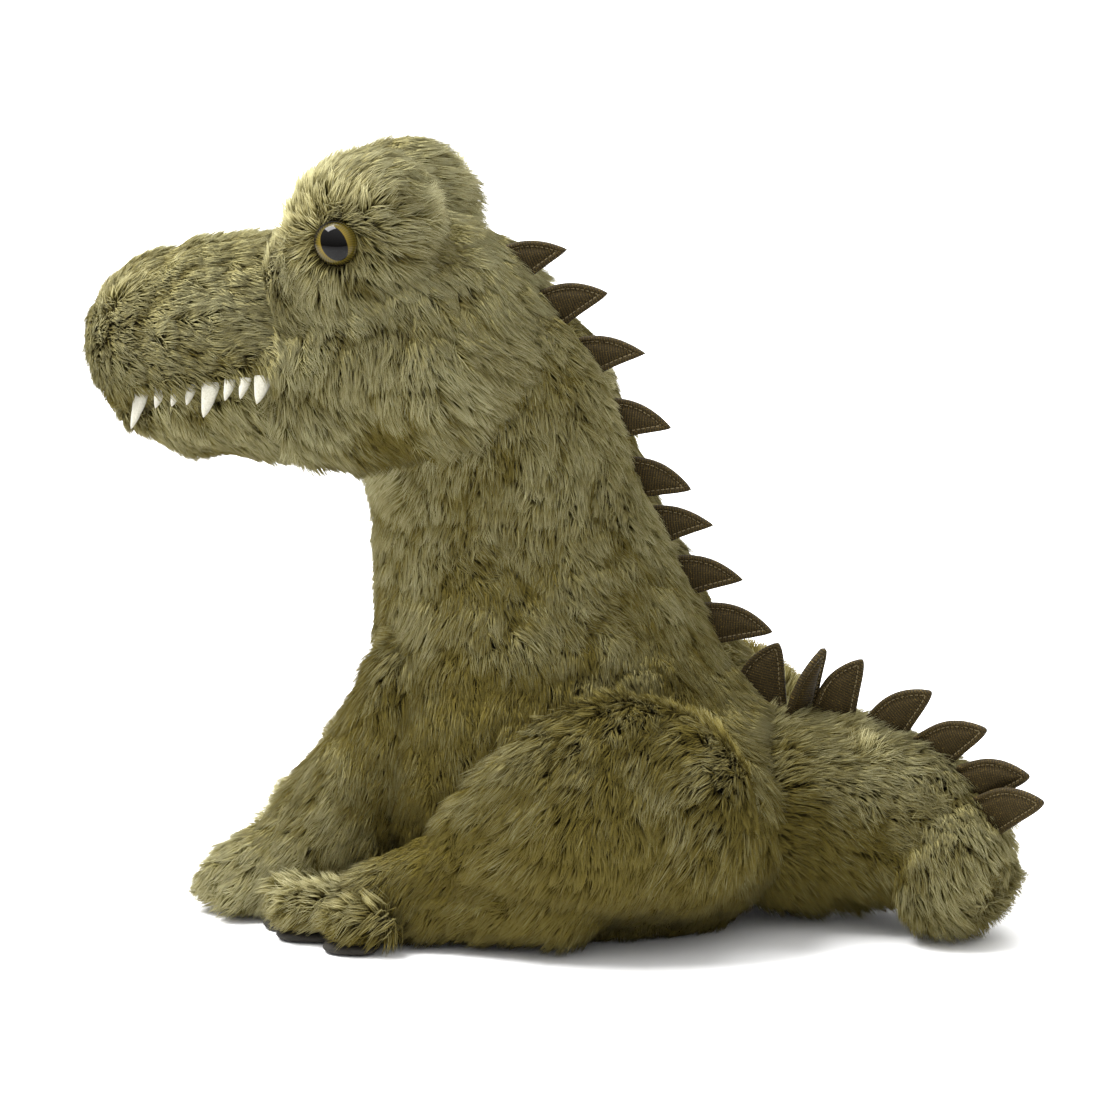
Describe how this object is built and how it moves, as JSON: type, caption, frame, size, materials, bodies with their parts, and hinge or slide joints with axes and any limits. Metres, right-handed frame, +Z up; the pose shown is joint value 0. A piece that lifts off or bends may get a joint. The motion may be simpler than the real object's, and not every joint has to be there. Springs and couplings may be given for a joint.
{
  "type": "stuffed dinosaur",
  "caption": "Sitting crocodile-like plush dinosaur: long-pile covers over fibre filling, felt teeth, amber safety eyes, a row of dark cloth spikes along back and tail.",
  "frame": {"origin": "on the flat underside of the seat, in the middle plane of the body", "axes": "+Z up, the muzzle points to -X and the tail lies at +X, the toy's left side is at -Y"},
  "size_m": [0.413, 0.21, 0.318],
  "materials": {
    "fur": "matte",
    "spike_cloth": "matte",
    "felt": "matte",
    "fibre": "matte",
    "pouch": "matte",
    "pellets": "satin",
    "eye": "gloss",
    "eye_black": "gloss",
    "washer": "satin",
    "sole": "matte"
  },
  "bodies": {
    "torso": {"torso_skin": "fur", "torso_filling": "fibre", "bean_pouch": "pouch", "bean_pellets": "pellets", "spike_02": "spike_cloth", "spike_03": "spike_cloth", "spike_04": "spike_cloth", "spike_05": "spike_cloth", "spike_06": "spike_cloth", "spike_07": "spike_cloth", "spike_08": "spike_cloth", "spike_09": "spike_cloth"},
    "head": {"head_skin": "fur", "jaw_skin": "fur", "head_filling": "fibre", "eye_dome_left": "eye", "eye_shank_left": "eye_black", "eye_washer_left": "washer", "eye_dome_right": "eye", "eye_shank_right": "eye_black", "eye_washer_right": "washer", "tooth_left_1": "felt", "tooth_left_2": "felt", "tooth_left_3": "felt", "tooth_left_4": "felt", "tooth_left_5": "felt", "tooth_left_6": "felt", "tooth_left_7": "felt", "tooth_left_8": "felt", "tooth_right_1": "felt", "tooth_right_2": "felt", "tooth_right_3": "felt", "tooth_right_4": "felt", "tooth_right_5": "felt", "tooth_right_6": "felt", "tooth_right_7": "felt", "tooth_right_8": "felt", "spike_01": "spike_cloth"},
    "front_leg_left": {"front_leg_skin_left": "fur", "front_leg_filling_left": "fibre"},
    "front_leg_right": {"front_leg_skin_right": "fur", "front_leg_filling_right": "fibre"},
    "hind_leg_left": {"hind_leg_skin_left": "fur", "hind_leg_filling_left": "fibre", "sole_pad_left": "sole"},
    "hind_leg_right": {"hind_leg_skin_right": "fur", "hind_leg_filling_right": "fibre", "sole_pad_right": "sole"},
    "tail": {"tail_skin": "fur", "tail_filling": "fibre", "spike_10": "spike_cloth", "spike_11": "spike_cloth", "spike_12": "spike_cloth", "spike_13": "spike_cloth", "spike_14": "spike_cloth", "spike_15": "spike_cloth"}
  },
  "joints": [
    {"name": "head_nod", "type": "hinge", "parent": "torso", "child": "head", "pos_m": [-0.064, 0, 0.24], "axis": [0, 1, 0], "range_deg": [-7, 6], "stiffness_Nm_per_rad": 4},
    {"name": "front_leg_left_swing", "type": "hinge", "parent": "torso", "child": "front_leg_left", "pos_m": [-0.048, -0.036, 0.098], "axis": [0, 1, 0], "range_deg": [0, 30], "stiffness_Nm_per_rad": 0.8},
    {"name": "front_leg_right_swing", "type": "hinge", "parent": "torso", "child": "front_leg_right", "pos_m": [-0.048, 0.036, 0.098], "axis": [0, 1, 0], "range_deg": [0, 30], "stiffness_Nm_per_rad": 0.8},
    {"name": "hind_leg_left_swing", "type": "hinge", "parent": "torso", "child": "hind_leg_left", "pos_m": [0.033, -0.076, 0.06], "axis": [0, 1, 0], "range_deg": [0, 25], "stiffness_Nm_per_rad": 1.2},
    {"name": "hind_leg_right_swing", "type": "hinge", "parent": "torso", "child": "hind_leg_right", "pos_m": [0.033, 0.076, 0.06], "axis": [0, 1, 0], "range_deg": [0, 25], "stiffness_Nm_per_rad": 1.2},
    {"name": "tail_swing", "type": "hinge", "parent": "torso", "child": "tail", "pos_m": [0.1, 0, 0.045], "axis": [0, 0, 1], "range_deg": [-20, 20], "stiffness_Nm_per_rad": 1}
  ]
}
